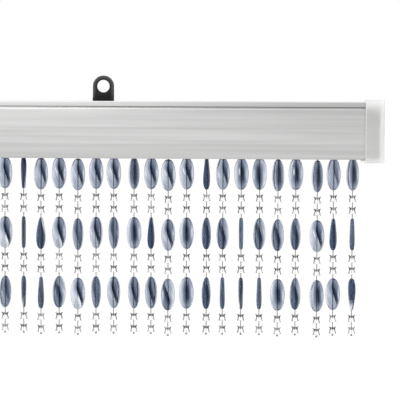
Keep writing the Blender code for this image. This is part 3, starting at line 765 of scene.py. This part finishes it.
def dress_strand(number, acrylic, clear, nylon):
    """Oval beads, spool beads, knots and thread of one strand."""
    name = f"strand_{number:02d}"
    top = place_of(name + "_turn")
    axis = Vector((top.x, top.y, 0))
    drop = STRAND_DROP_SHARES[number - 1] * BEAD_LENGTH
    first_centre = RAIL_FOOT + BEAD_TUCK - BEAD_LENGTH / 2 - drop
    end = first_centre - (ROW_COUNT - 1) * ROW_REPEAT - END_KNOT_DROP

    ovals = bmesh.new()
    oval_layers = {key: ovals.verts.layers.float.new(key) for key in BEAD_NUMBERS}
    spools = bmesh.new()
    spool_layers = {"painted_shade_share": spools.verts.layers.float.new("painted_shade_share")}
    for row, degrees in enumerate(BEAD_TURN_DEGREES[number - 1]):
        centre = axis + Vector((0, 0, first_centre - row * ROW_REPEAT))
        twist = SLIGHT_TWIST if abs(degrees) <= SLIGHT_TWIST_LIMIT else BEAD_TWIST
        way_up = -1 if (number, row + 1) in TURNED_OVER else 1
        looks = looks_of(number, row, degrees)
        add_oval_bead(ovals, oval_layers, centre, math.radians(degrees), twist, way_up, looks)
        for spool_drop in SPOOL_DROPS:
            add_spool_bead(spools, spool_layers, centre - Vector((0, 0, spool_drop)))
    for mesh_edit in (ovals, spools):
        bmesh.ops.recalc_face_normals(mesh_edit, faces=mesh_edit.faces)
    oval_piece = finished(name + "_oval_beads", ovals, acrylic, name, 30)
    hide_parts(name)
    spool_piece = finished(name + "_spool_beads", spools, clear, name, 50)
    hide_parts(name)

    knots = bmesh.new()
    for height in (top.z - KNOT_RADIUS * KNOT_FLATTENING, end):
        made = bmesh.ops.create_icosphere(knots, subdivisions=2, radius=KNOT_RADIUS)
        bmesh.ops.scale(knots, vec=(1, 1, KNOT_FLATTENING), verts=made["verts"])
        bmesh.ops.translate(knots, vec=(axis.x, axis.y, height), verts=made["verts"])
    knot_piece = finished(name + "_knots", knots, nylon, name, 60)
    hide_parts(name)

    curve = bpy.data.curves.new(name + "_thread", "CURVE")
    curve.dimensions = "3D"
    curve.bevel_depth = THREAD_RADIUS
    curve.bevel_resolution = 2
    curve.use_fill_caps = True
    spline = curve.splines.new("POLY")
    spline.points.add(THREAD_STEPS)
    for step, point in enumerate(spline.points):
        height = top.z + (end - top.z) * step / THREAD_STEPS
        point.co = (axis.x, axis.y, height, 1)
    curve.materials.append(nylon)
    thread = bpy.data.objects.new(name + "_thread", curve)
    bpy.context.scene.collection.objects.link(thread)
    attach(thread, name)
    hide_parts(name)


def dress_nodes():
    """Give every CAD node but the strands its finish, or a stand-in with rounded edges."""
    aluminium = satin_aluminium()
    refined("head_rail", "rail_extrusion", aluminium, "rail", FINE_ROUNDING)
    paint_node("strand_rod", drawn_steel())
    frosted = frosted_plastic()
    for side in ("left", "right"):
        cap = f"cap_{side}"
        refined(f"end_{cap}", f"{cap}_moulding", frosted, cap, FINE_ROUNDING)
    black = black_plastic()
    for side in ("left", "right"):
        lug = f"lug_{side}"
        refined(f"hanging_{lug}", f"{lug}_moulding", black, lug, LUG_ROUNDING)
    hook = clip_plastic()
    for number in range(1, STRAND_COUNT + 1):
        paint_node(f"strand_clip_{number:02d}", hook)


def make_floor():
    """A pale floor below, white to the eye, that still takes the object's shadow."""
    mesh_edit = bmesh.new()
    bmesh.ops.create_grid(mesh_edit, x_segments=1, y_segments=1, size=FLOOR_HALF_SIZE)
    bmesh.ops.translate(mesh_edit, vec=(0, 0, FLOOR_HEIGHT), verts=mesh_edit.verts)
    mesh = bpy.data.meshes.new("floor")
    mesh_edit.to_mesh(mesh)
    mesh_edit.free()
    material, tree, shader = new_material("pale_floor")
    shader.inputs["Base Color"].default_value = (0.86, 0.86, 0.86, 1)
    shader.inputs["Roughness"].default_value = 0.9
    shader.inputs["Specular IOR Level"].default_value = 0.0
    shader.inputs["Emission Color"].default_value = (1, 1, 1, 1)
    tree.links.new(product(tree, seen_by_the_eye(tree), FLOOR_GLOW), shader.inputs["Emission Strength"])
    mesh.materials.append(material)
    floor = bpy.data.objects.new("floor", mesh)
    bpy.context.scene.collection.objects.link(floor)


def make_world():
    """White wherever the background is seen, and a plain soft level elsewhere."""
    world = bpy.data.worlds.new("studio")
    bpy.context.scene.world = world
    world.use_nodes = True
    tree = world.node_tree
    background = tree.nodes["Background"]
    background.inputs["Color"].default_value = (1, 1, 1, 1)
    brighter = product(tree, seen_by_the_eye(tree), 1.0 - ROOM_LEVEL)
    tree.links.new(calculate(tree, "ADD", brighter, ROOM_LEVEL), background.inputs["Strength"])


def add_lamp(name, place, size, watts):
    """A soft square lamp that points at the rail."""
    lamp = bpy.data.lights.new(name, "AREA")
    lamp.shape = "SQUARE"
    lamp.size = size
    lamp.energy = watts
    item = bpy.data.objects.new(name, lamp)
    item.location = place
    item.rotation_euler = (-Vector(place)).to_track_quat("-Z", "Y").to_euler()
    bpy.context.scene.collection.objects.link(item)


def make_camera():
    """The photograph's view: from 1.6 m in front, a little to the right."""
    level = math.cos(CAMERA_PITCH)
    forward = Vector((math.sin(CAMERA_YAW) * level, math.cos(CAMERA_YAW) * level, math.sin(CAMERA_PITCH)))
    right = Vector((math.cos(CAMERA_YAW), -math.sin(CAMERA_YAW), 0))
    turn = Matrix((right, right.cross(forward), -forward)).transposed() @ Matrix.Rotation(CAMERA_ROLL, 3, "Z")
    data = bpy.data.cameras.new("camera")
    data.lens = CAMERA_LENS
    data.sensor_width = CAMERA_SENSOR
    camera = bpy.data.objects.new("camera", data)
    camera.matrix_world = Matrix.Translation(CAMERA_PLACE) @ turn.to_4x4()
    bpy.context.scene.collection.objects.link(camera)
    bpy.context.scene.camera = camera


dress_nodes()
slate = slate_acrylic()
clear = clear_acrylic()
nylon = thread_nylon()
for strand_number in range(1, STRAND_COUNT + 1):
    dress_strand(strand_number, slate, clear, nylon)
make_floor()
make_world()
for lamp_name, lamp_place, lamp_size, lamp_watts in LAMPS:
    add_lamp(lamp_name, lamp_place, lamp_size, lamp_watts)
make_camera()
bpy.context.scene.view_settings.view_transform = "Standard"
